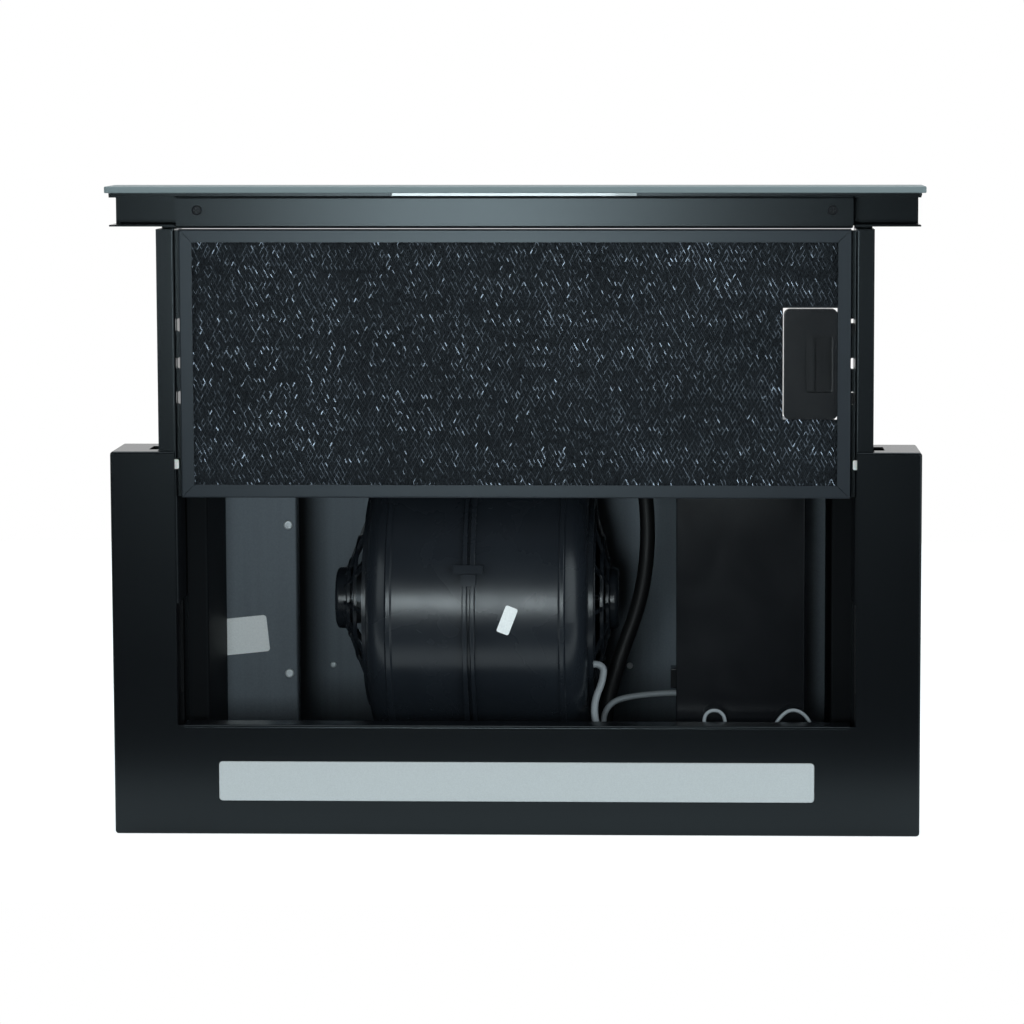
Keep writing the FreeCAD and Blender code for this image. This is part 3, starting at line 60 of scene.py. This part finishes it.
def linear(code, alpha=1.0):
    """sRGB hex to linear colour: c/12.92 up to 0.04045, ((c + 0.055) / 1.055) ^ 2.4 above."""
    c = np.array([int(code[i:i + 2], 16) for i in (1, 3, 5)]) / 255.0
    c = np.where(c <= 0.04045, c / 12.92, ((c + 0.055) / 1.055) ** 2.4)
    return (*c.tolist(), alpha)


# ---------------------------------------------------------------- camera
data = bpy.data.cameras.new("camera")
data.sensor_width = 36.0
data.lens = 105.47
data.shift_x = -0.10
data.shift_y = -0.16
data.clip_start = 0.05
data.clip_end = 60.0
CAMERA_AT = (0.1188, -2.1770 + UNDERSIDE, 0.5454)
YAW, PITCH, ROLL = 1.204, 4.829, 0.053
camera = bpy.data.objects.new("camera", data)
bpy.context.scene.collection.objects.link(camera)
bpy.context.scene.camera = camera
camera.location = CAMERA_AT
camera.rotation_euler = (math.radians(90 - PITCH), math.radians(ROLL), math.radians(YAW))


# ---------------------------------------------------------------- cables
# Route points in millimetres, then diameter, stiffness and how the cable lies.
ROUTES = {
    "motor_cable": (
        ((55.05, 75, 114), (63.5, 75, 114), (62, 71.5, 101), (56.5, 65.5, 89), (56, 61, 76),
         (62, 57.5, 58), (71, 52.5, 43.5), (84, 48, 37), (96, 43.5, 37.5), (102.5, 39.5, 38),
         (102.5, 30.05, 38)), 5.4, "medium", "loose"),
    "lamp_cable": (
        ((76, 30.05, 51), (76, 42, 51), (74, 55, 51.5), (70, 68, 54), (65, 81, 59), (61.5, 93, 66),
         (64.5, 101.5, 75), (74, 104.8, 82), (106, 104.8, 86), (119.85, 104.8, 86)),
        4.6, "medium", "loose"),
    "lamp_lead": (
        ((214, 14.05, 42), (214, 24, 42), (216, 28, 55), (219.5, 29, 66), (219, 29.5, 78),
         (212, 30, 87), (203, 30, 89), (195, 29.5, 83), (189, 28, 72), (182, 26.5, 59),
         (173, 25.5, 51), (163, 25.5, 52), (156.5, 27, 61), (154.5, 28.5, 73), (154.5, 29, 83.3),
         (149.8, 29.3, 88), (143.2, 29.3, 88), (138.5, 29, 83.3), (139.5, 26.5, 72), (142, 22, 66),
         (142, 22, 57.05)), 2.6, "limp", "loose"),
    "cable_sleeve": (
        ((91, 132, 281.95), (91, 132, 256), (95.5, 124, 228), (96, 120, 198), (93, 120, 170),
         (87.5, 120, 147), (79.5, 119.5, 125), (73, 119, 106), (66.5, 119, 84), (62, 119, 58),
         (61, 119, 30), (61, 119, 1.05)), 11.6, "medium", "hanging"),
}


def lay_cable(name, points, diameter, stiffness, lay):
    """Smooth cable: a quadratic NURBS line with the route's points as its control points, swept by a
    circle into a closed tube."""
    points = place(points)
    curve = bpy.data.curves.new(name + "_line", "CURVE")
    curve.dimensions = "3D"
    curve.resolution_u = 16
    line = curve.splines.new("NURBS")
    line.points.add(len(points) - 1)
    line.points.foreach_set("co", np.column_stack([points, np.ones(len(points))]).ravel())
    line.order_u = 3
    line.use_endpoint_u = True
    thin = bpy.data.objects.new(name + "_thin", curve)
    centre = bpy.data.meshes.new_from_object(thin)
    round_curve = curve.copy()
    round_curve.bevel_depth = diameter / 2000.0
    round_curve.bevel_resolution = 6
    round_curve.use_fill_caps = True
    thick = bpy.data.objects.new(name + "_thick", round_curve)
    tube = bpy.data.meshes.new_from_object(thick)
    for helper in (thin, thick):
        bpy.data.objects.remove(helper)
    bpy.data.meshes.remove(centre)
    tube.materials.clear()
    cable = bpy.data.objects.new(name + "_run", tube)
    bpy.context.scene.collection.objects.link(cable)
    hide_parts(name)
    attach(cable, "hood_body")
    return cable


cables = {name: lay_cable(name, *facts) for name, facts in ROUTES.items() if name in nodes}


# ---------------------------------------------------------------- node helper
def add(tree, kind, settings=None, links=None):
    """Adds one shader node; settings go to inputs or to attributes, links join outputs to inputs."""
    node = tree.nodes.new(kind)
    for key, value in (settings or {}).items():
        if isinstance(key, int) or key in node.inputs:
            node.inputs[key].default_value = value
        else:
            setattr(node, key, value)
    for key, source in (links or {}).items():
        tree.links.new(source, node.inputs[key])
    return node


def ramp(tree, source, stops):
    """Colour ramp through (position, colour) stops."""
    node = add(tree, "ShaderNodeValToRGB", links={"Fac": source})
    marks = node.color_ramp.elements
    while len(marks) < len(stops):
        marks.new(0.5)
    for mark, (position, colour) in zip(marks, stops):
        mark.position = position
        mark.color = (*colour, 1.0)
    return node.outputs["Color"]


def toned(tree, source, colour, low=0.3, high=0.7, darker=0.94, lighter=1.06):
    """Colour from darker to lighter times itself as the pattern goes from low to high."""
    base = np.array(linear(colour)[:3])
    return ramp(tree, source, [(low, base * darker), (high, np.minimum(base * lighter, 1.0))])


def around(tree, source, middle, swing):
    """Roughness from middle - swing to middle + swing as the pattern goes from 0 to 1."""
    node = add(tree, "ShaderNodeMath", {"operation": "MULTIPLY_ADD", 1: swing * 2, 2: middle - swing},
               {0: source})
    return node.outputs[0]


def raised(tree, height, strength, distance):
    """Bump of the pattern, distance in metres."""
    return add(tree, "ShaderNodeBump", {"Strength": strength, "Distance": distance},
               {"Height": height}).outputs[0]


def join(tree, shader, tone, rough, normal=None):
    """Links colour, roughness and bump to the shader."""
    tree.links.new(tone, shader.inputs["Base Color"])
    tree.links.new(rough, shader.inputs["Roughness"])
    if normal:
        tree.links.new(normal, shader.inputs["Normal"])


def new_material(name):
    """Empty material with a shader, its output and the piece's own coordinates."""
    material = bpy.data.materials.new(name)
    material.use_nodes = True
    tree = material.node_tree
    tree.nodes.clear()
    shader = add(tree, "ShaderNodeBsdfPrincipled")
    add(tree, "ShaderNodeOutputMaterial", links={"Surface": shader.outputs[0]})
    coords = add(tree, "ShaderNodeTexCoord").outputs["Object"]
    return material, tree, shader, coords


# ---------------------------------------------------------------- materials
SHEEN_TINT = (0.84, 0.95, 1.0, 1.0)


def powder_coat(name, colour, rough, grain_mm=0.9, gloss=0.42):
    """Polyester powder coat on steel sheet: fine orange peel, cloudy roughness, satin with a cool
    sheen."""
    material, tree, shader, coords = new_material(name)
    peel = add(tree, "ShaderNodeTexNoise",
               {"Scale": 1000.0 / grain_mm / 2, "Detail": 2.0, "Roughness": 0.5}, {"Vector": coords})
    cloud = add(tree, "ShaderNodeTexNoise", {"Scale": 14.0, "Detail": 3.0, "Roughness": 0.55},
                {"Vector": coords})
    speck = around(tree, peel.outputs["Fac"], 0.0, 0.01)
    wave = around(tree, cloud.outputs["Fac"], rough, 0.008)
    total = add(tree, "ShaderNodeMath", {"operation": "ADD"}, {0: speck, 1: wave})
    shader.inputs["IOR"].default_value = 1.5
    shader.inputs["Specular IOR Level"].default_value = gloss
    shader.inputs["Specular Tint"].default_value = SHEEN_TINT
    join(tree, shader, toned(tree, cloud.outputs["Fac"], colour), total.outputs[0],
         raised(tree, peel.outputs["Fac"], 0.004, 0.0004))
    return material


def moulded(name, colour, rough):
    """Injection-moulded thermoplastic: spark-eroded grain of 0.6 mm and slow flow marks in the gloss."""
    material, tree, shader, coords = new_material(name)
    grain = add(tree, "ShaderNodeTexVoronoi", {"Scale": 1000.0 / 0.6}, {"Vector": coords})
    flow = add(tree, "ShaderNodeTexNoise", {"Scale": 22.0, "Detail": 4.0, "Distortion": 0.6},
               {"Vector": coords})
    shader.inputs["IOR"].default_value = 1.49
    join(tree, shader, toned(tree, flow.outputs["Fac"], colour, darker=0.9, lighter=1.1),
         around(tree, flow.outputs["Fac"], rough, 0.07),
         raised(tree, grain.outputs["Distance"], 0.08, 0.0002))
    return material


def coated_sheet(name, colour):
    """Zinc-magnesium sheet: matt dark grey with a sandy grain of 1.3 mm and faint rolling streaks
    along Z, 6 mm wide and 200 mm long."""
    material, tree, shader, coords = new_material(name)
    sand = add(tree, "ShaderNodeTexNoise", {"Scale": 750.0, "Detail": 3.0, "Roughness": 0.6},
               {"Vector": coords})
    along = add(tree, "ShaderNodeMapping", {"Scale": (160.0, 160.0, 5.0)}, {"Vector": coords})
    streak = add(tree, "ShaderNodeTexNoise", {"Scale": 1.0, "Detail": 2.0}, {"Vector": along.outputs[0]})
    mixed = add(tree, "ShaderNodeMath", {"operation": "MULTIPLY_ADD", 1: 1.6},
                {0: sand.outputs["Fac"], 2: streak.outputs["Fac"]})
    level = add(tree, "ShaderNodeMath", {"operation": "MULTIPLY", 1: 0.385}, {0: mixed.outputs[0]})
    shader.inputs["Metallic"].default_value = 0.45
    join(tree, shader, toned(tree, level.outputs[0], colour, 0.36, 0.64, 0.9, 1.1),
         around(tree, sand.outputs["Fac"], 0.42, 0.06), raised(tree, sand.outputs["Fac"], 0.05, 0.0002))
    return material


def plated(name, colour, rough, metallic=1.0):
    """Zinc or nickel plate: thin metal skin with faint drawing lines about 1 mm apart."""
    material, tree, shader, coords = new_material(name)
    lines = add(tree, "ShaderNodeTexNoise", {"Scale": 900.0, "Detail": 2.0}, {"Vector": coords})
    shader.inputs["Metallic"].default_value = metallic
    join(tree, shader, toned(tree, lines.outputs["Fac"], colour, darker=0.92, lighter=1.05),
         around(tree, lines.outputs["Fac"], rough, 0.1))
    return material


def plain(name, colour, rough, grain_scale=700.0, subsurface=0.0, coat=0.0):
    """Paper, nylon, sheath or solder mask: fine even grain under a soft gloss."""
    material, tree, shader, coords = new_material(name)
    grain = add(tree, "ShaderNodeTexNoise", {"Scale": grain_scale, "Detail": 3.0}, {"Vector": coords})
    shader.inputs["Subsurface Weight"].default_value = subsurface
    shader.inputs["Subsurface Scale"].default_value = 0.002
    shader.inputs["Coat Weight"].default_value = coat
    join(tree, shader, toned(tree, grain.outputs["Fac"], colour, lighter=1.05),
         around(tree, grain.outputs["Fac"], rough, 0.06))
    return material


def float_glass():
    """Toughened float glass 4.7 mm thick: its ground edge is pale grey-green and scatters light."""
    material, tree, shader, coords = new_material("toughened_float_glass")
    grind = add(tree, "ShaderNodeTexNoise", {"Scale": 600.0, "Detail": 2.0}, {"Vector": coords})
    shader.inputs["Base Color"].default_value = linear("#8b9da1")
    shader.inputs["IOR"].default_value = 1.52
    shader.inputs["Transmission Weight"].default_value = 0.35
    tree.links.new(around(tree, grind.outputs["Fac"], 0.47, 0.05), shader.inputs["Roughness"])
    return material


LOOKS = {
    "black_coated_steel": powder_coat("black_powder_coated_steel", "#07080b", 0.26),
    "black_liner_steel": powder_coat("matt_black_liner_steel", "#0a0a0d", 0.6, gloss=0.15),
    "grey_galvanised_steel": coated_sheet("dark_grey_coated_sheet", "#5f676e"),
    "zinc_screw": plated("bright_zinc_plated_screw", "#d3d9dc", 0.36, 0.45),
    "dark_screw": plated("blackened_screw", "#1b1d20", 0.3, 0.6),
    "shaft_steel": plated("ground_steel_shaft", "#b9bdc0", 0.25),
    "blank_label": plain("white_label_film", "#f4fafb", 0.5),
    "black_plastic": moulded("black_polypropylene", "#0b0d11", 0.21),
    "black_gloss_plastic": moulded("satin_black_abs", "#1f242a", 0.27),
    "circuit_board": plain("green_solder_mask", "#1d5a36", 0.35),
    "capacitor_can": plain("pale_capacitor_can", "#d6d5cd", 0.35),
    "white_nylon": plain("natural_nylon", "#e6e8e4", 0.45, subsurface=0.2),
    "lamp_diffuser": plain("opal_acrylic", "#c2c7c8", 0.35, grain_scale=1400.0),
    "lamp_housing": plain("white_polycarbonate", "#dedfdd", 0.45),
    "rail_steel": plated("black_phosphated_rail", "#17191c", 0.4, 0.5),
    "glass": float_glass(),
    "touch_lens": plain("grey_clear_acrylic", "#9aa5a8", 0.2, coat=0.5),
    "filter_frame": powder_coat("grey_coated_aluminium_profile", "#24282e", 0.30, grain_mm=0.7),
    # mesh pack: a dark flat tone, partly the inner mesh layers and partly painted shade in the pack's
    # depth
    "filter_mesh": powder_coat("mesh_pack_with_painted_depth_shade", "#1b1f25", 0.6),
    "motor_metal": plated("turned_cast_motor_can", "#8b9094", 0.45),
    "cable_grey": plain("grey_pvc_sheath", "#8f979c", 0.42),
    "cable_black": plain("black_fabric_sleeve", "#121315", 0.5),
}
SLOTS = {row["node"]: row["material_slot"] for row in frame["record"]["subparts"]}
for name, slot in SLOTS.items():
    mesh = nodes[name].data
    mesh.materials.clear()
    mesh.materials.append(LOOKS[slot])
for name, cable in cables.items():
    cable.data.materials.append(LOOKS[SLOTS[name]])


# ---------------------------------------------------------------- filter mesh
def mesh_from(name, corners, faces, material, body, slot):
    """Piece from an array of corners in metres and an array of faces with equal corner counts."""
    mesh = bpy.data.meshes.new(name)
    faces = np.asarray(faces, np.int32)
    mesh.vertices.add(len(corners))
    mesh.vertices.foreach_set("co", np.asarray(corners, np.float32).ravel())
    mesh.loops.add(faces.size)
    mesh.loops.foreach_set("vertex_index", faces.ravel())
    mesh.polygons.add(len(faces))
    mesh.polygons.foreach_set("loop_start", np.arange(len(faces), dtype=np.int32) * faces.shape[1])
    mesh.polygons.foreach_set("use_smooth", np.zeros(len(faces), bool))
    mesh.update(calc_edges=True)
    mesh.materials.append(material)
    piece = bpy.data.objects.new(name, mesh)
    bpy.context.scene.collection.objects.link(piece)
    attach(piece, body)
    return piece


def struts(starts, ends, wide, high, turn):
    """Three-sided struts: at each end two edge corners at +-wide across the strut and one at high
    towards -Y, all turned about the strut by its own angle; three long quads join the ends."""
    along = ends - starts
    along /= np.linalg.norm(along, axis=1, keepdims=True)
    near = np.zeros_like(along)
    near[:, 1] = -1.0
    across = np.cross(along, near)
    across /= np.linalg.norm(across, axis=1, keepdims=True)
    near = np.cross(across, along)
    cos, sin = np.cos(turn)[:, None], np.sin(turn)[:, None]
    across, near = across * cos + near * sin, near * cos - across * sin
    ring = np.stack([-across * wide, near * high, across * wide], axis=1)
    corners = np.concatenate([starts[:, None] + ring, ends[:, None] + ring], axis=1)
    first = np.arange(len(starts))[:, None, None] * 6
    quads = np.array([[0, 1, 4, 3], [1, 2, 5, 4], [2, 0, 3, 5]])[None]
    return corners.reshape(-1, 3), (first + quads).reshape(-1, 4)


# Expanded sheet in millimetres: diamond pitch across and up, folds, strand section, margin at the frame.
CELL_X, ROW_Z = 3.14, 2.95
FOLDS, FOLD_DEPTH = 8, 1.2
STRAND_HALF, STRAND_HEIGHT = 0.42, 0.5
MARGIN = 1.0
SEED = 7


def expanded_mesh():
    """Expanded aluminium sheet: diamonds on a staggered grid, column i and row j at
    ((i + (j mod 2) / 2) * CELL_X, j * ROW_Z); from every knot one strut rises left and one right.
    The sheet is crimped in shallow folds along X, waves slowly, and each strut is twisted a little."""
    low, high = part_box("filter_mesh")
    hand_low, hand_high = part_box("latch_housing")
    low, high = np.array(low) * 1000.0, np.array(high) * 1000.0
    hand_low, hand_high = np.array(hand_low) * 1000.0, np.array(hand_high) * 1000.0
    columns = int((high[0] - low[0]) / CELL_X) - 1
    rows = int((high[2] - low[2]) / ROW_Z) - 1
    grid = np.random.default_rng(SEED)
    i, j = np.meshgrid(np.arange(columns), np.arange(rows), indexing="ij")
    i, j = i.ravel(), j.ravel()

    def knot(column, row):
        x = low[0] + 1.2 + (column + (row % 2) / 2) * CELL_X
        z = low[2] + MARGIN + row * ROW_Z
        wave = 0.2 * np.sin(x * 0.045 + z * 0.11) + 0.12 * np.sin(x * 0.21 - z * 0.16)
        share = (z - low[2]) / (high[2] - low[2])
        fold = FOLD_DEPTH * (0.5 - 0.5 * np.cos(share * 2 * np.pi * FOLDS))
        y = low[1] + 0.85 + fold + wave + 0.35 * ((column + row) % 2)
        shift = 0.18 * np.sin(column * 12.9898 + row * 78.233) * np.cos(column * 4.1 + row * 3.7)
        return np.column_stack([x + shift, y, z + shift * 0.6])

    start = knot(i, j)
    right = knot(i + (j % 2), j + 1)
    left = knot(i - 1 + (j % 2), j + 1)
    starts = np.concatenate([start, start])
    ends = np.concatenate([right, left])
    turn = np.concatenate([grid.normal(0.35, 0.33, len(start)),
                           grid.normal(0.95, 0.3, len(start))])
    middle = (starts + ends) / 2
    in_plate = (middle[:, 0] > hand_low[0] - 0.5) & (middle[:, 2] > hand_low[2] - 0.5) & \
        (middle[:, 2] < hand_high[2] + 0.5)
    keep = (middle[:, 0] > low[0] + MARGIN) & (middle[:, 0] < high[0] - MARGIN) & ~in_plate
    corners, faces = struts(starts[keep], ends[keep], STRAND_HALF, STRAND_HEIGHT, turn[keep])
    return corners / 1000.0, faces


def coated_strand():
    """Dark anodised aluminium strand: thin sheet cut and stretched, crisp small facets that glint."""
    material, tree, shader, coords = new_material("dark_anodised_expanded_aluminium")
    haze = add(tree, "ShaderNodeTexNoise", {"Scale": 18.0, "Detail": 3.0}, {"Vector": coords})
    cut = add(tree, "ShaderNodeTexNoise", {"Scale": 420.0, "Detail": 2.0}, {"Vector": coords})
    shader.inputs["Metallic"].default_value = 0.8
    join(tree, shader, toned(tree, haze.outputs["Fac"], "#4b5159", 0.35, 0.65, 0.75, 1.2),
         around(tree, cut.outputs["Fac"], 0.24, 0.08))
    return material


strands = mesh_from("expanded_strands", *expanded_mesh(), coated_strand(), "filter", "filter_mesh")
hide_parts("filter_mesh")


def mesh_packing():
    """Inner layers of the filter seen between the front strands: two flat sheets at 45 and 85 per cent
    of the pack's depth, cut back at the handle plate. The front one faces the viewer, the rear one the
    back. Their dark tone is partly the inner mesh layers and partly painted shade in the pack's depth."""
    low, high = [np.array(corner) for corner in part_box("filter_mesh")]
    hand_low, hand_high = [np.array(corner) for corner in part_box("latch_housing")]
    x = (low[0], hand_low[0] - 0.0005, high[0])
    z = (low[2], hand_low[2] - 0.0005, hand_high[2] + 0.0005, high[2])
    around_plate = ((x[0], x[1], z[0], z[3]), (x[1], x[2], z[0], z[1]), (x[1], x[2], z[2], z[3]))
    corners = []
    faces = []
    for share in (0.45, 0.85):
        y = low[1] + share * (high[1] - low[1])
        back = share > 0.5
        for x0, x1, z0, z1 in around_plate:
            count = len(corners)
            corners += [(x0, y, z0), (x1, y, z0), (x1, y, z1), (x0, y, z1)]
            ring = [count, count + 1, count + 2, count + 3]
            faces.append(ring[::-1] if back else ring)
    return corners, faces


# packing sheets carry painted shade: their dark tone stands for the shade in the depth of the mesh pack
mesh_from("mesh_packing", *mesh_packing(), LOOKS["filter_mesh"], "filter", "filter_mesh")


# ---------------------------------------------------------------- room
FLOOR_GLOW = 0.66
FLOOR_GLOSS_SHARE = 0.3
AMBIENT = 0.46


def stage_floor():
    """Pale table top under the hood; it ends 19 cm in front of the underside. It is white to the camera
    and less bright to gloss, and it keeps the hood's shadow."""
    x, y0, y1 = 1.6, -0.34, 1.3
    mesh = bpy.data.meshes.new("table_top")
    mesh.from_pydata([(-x, y0, 0), (x, y0, 0), (x, y1, 0), (-x, y1, 0)], [], [(0, 1, 2, 3)])
    floor = bpy.data.objects.new("table_top", mesh)
    bpy.context.scene.collection.objects.link(floor)
    material = bpy.data.materials.new("white_table")
    material.use_nodes = True
    tree = material.node_tree
    tree.nodes.clear()
    diffuse = add(tree, "ShaderNodeBsdfDiffuse", {"Color": linear("#e9f3f6")})
    glow = add(tree, "ShaderNodeEmission", {"Color": (1, 1, 1, 1), "Strength": FLOOR_GLOW})
    paths = add(tree, "ShaderNodeLightPath")
    seen = add(tree, "ShaderNodeMath", {"operation": "MULTIPLY_ADD", 1: FLOOR_GLOSS_SHARE},
               {0: paths.outputs["Is Glossy Ray"], 2: paths.outputs["Is Camera Ray"]})
    both = add(tree, "ShaderNodeAddShader", links={0: diffuse.outputs[0], 1: glow.outputs[0]})
    mix = add(tree, "ShaderNodeMixShader",
              links={0: seen.outputs[0], 1: diffuse.outputs[0], 2: both.outputs[0]})
    add(tree, "ShaderNodeOutputMaterial", links={"Surface": mix.outputs[0]})
    mesh.materials.append(material)


def studio_world():
    """White to the camera; to gloss white behind the hood and dark in front; soft grey to the rest."""
    world = bpy.data.worlds.new("studio")
    bpy.context.scene.world = world
    world.use_nodes = True
    tree = world.node_tree
    tree.nodes.clear()
    paths = add(tree, "ShaderNodeLightPath")
    way = add(tree, "ShaderNodeTexCoord")
    parts = add(tree, "ShaderNodeSeparateXYZ", links={0: way.outputs["Generated"]})
    behind = add(tree, "ShaderNodeMapRange",
                 {"From Min": -0.05, "From Max": 0.30, "To Min": 0.0, "To Max": 1.0},
                 {"Value": parts.outputs["Y"]})
    gloss = add(tree, "ShaderNodeMix", {"data_type": "FLOAT", 2: AMBIENT},
                {0: paths.outputs["Is Glossy Ray"], 3: behind.outputs[0]})
    seen = add(tree, "ShaderNodeMath", {"operation": "MAXIMUM"},
               {0: paths.outputs["Is Camera Ray"], 1: paths.outputs["Is Transmission Ray"]})
    total = add(tree, "ShaderNodeMix", {"data_type": "FLOAT", 3: 1.0},
                {0: seen.outputs[0], 2: gloss.outputs[0]})
    back = add(tree, "ShaderNodeBackground", {"Color": (1, 1, 1, 1)}, {"Strength": total.outputs[0]})
    add(tree, "ShaderNodeOutputWorld", links={"Surface": back.outputs[0]})


AIM = (0.0, 0.0, 0.24)


def soft_box(name, at, size, power):
    """Cool white area lamp turned to the hood's middle."""
    light = bpy.data.lights.new(name, "AREA")
    light.shape = "RECTANGLE"
    light.size, light.size_y = size
    light.energy = power
    light.color = (0.84, 0.96, 1.0)
    lamp = bpy.data.objects.new(name, light)
    bpy.context.scene.collection.objects.link(lamp)
    lamp.location = at
    lamp.rotation_euler = Vector(np.array(AIM) - np.array(at)).to_track_quat("-Z", "Y").to_euler()


stage_floor()
studio_world()
soft_box("front_box", (-0.17, -2.25, 0.37), (0.40, 0.36), 7.6)
soft_box("left_fill", (-1.75, -1.55, 0.75), (1.4, 1.4), 6.0)
soft_box("right_fill", (1.75, -1.55, 0.75), (1.9, 1.9), 17.0)
soft_box("top_box", (0.0, -0.1, 1.9), (1.6, 1.2), 12.0)

# ---------------------------------------------------------------- end
bpy.context.scene.view_settings.view_transform = "Standard"
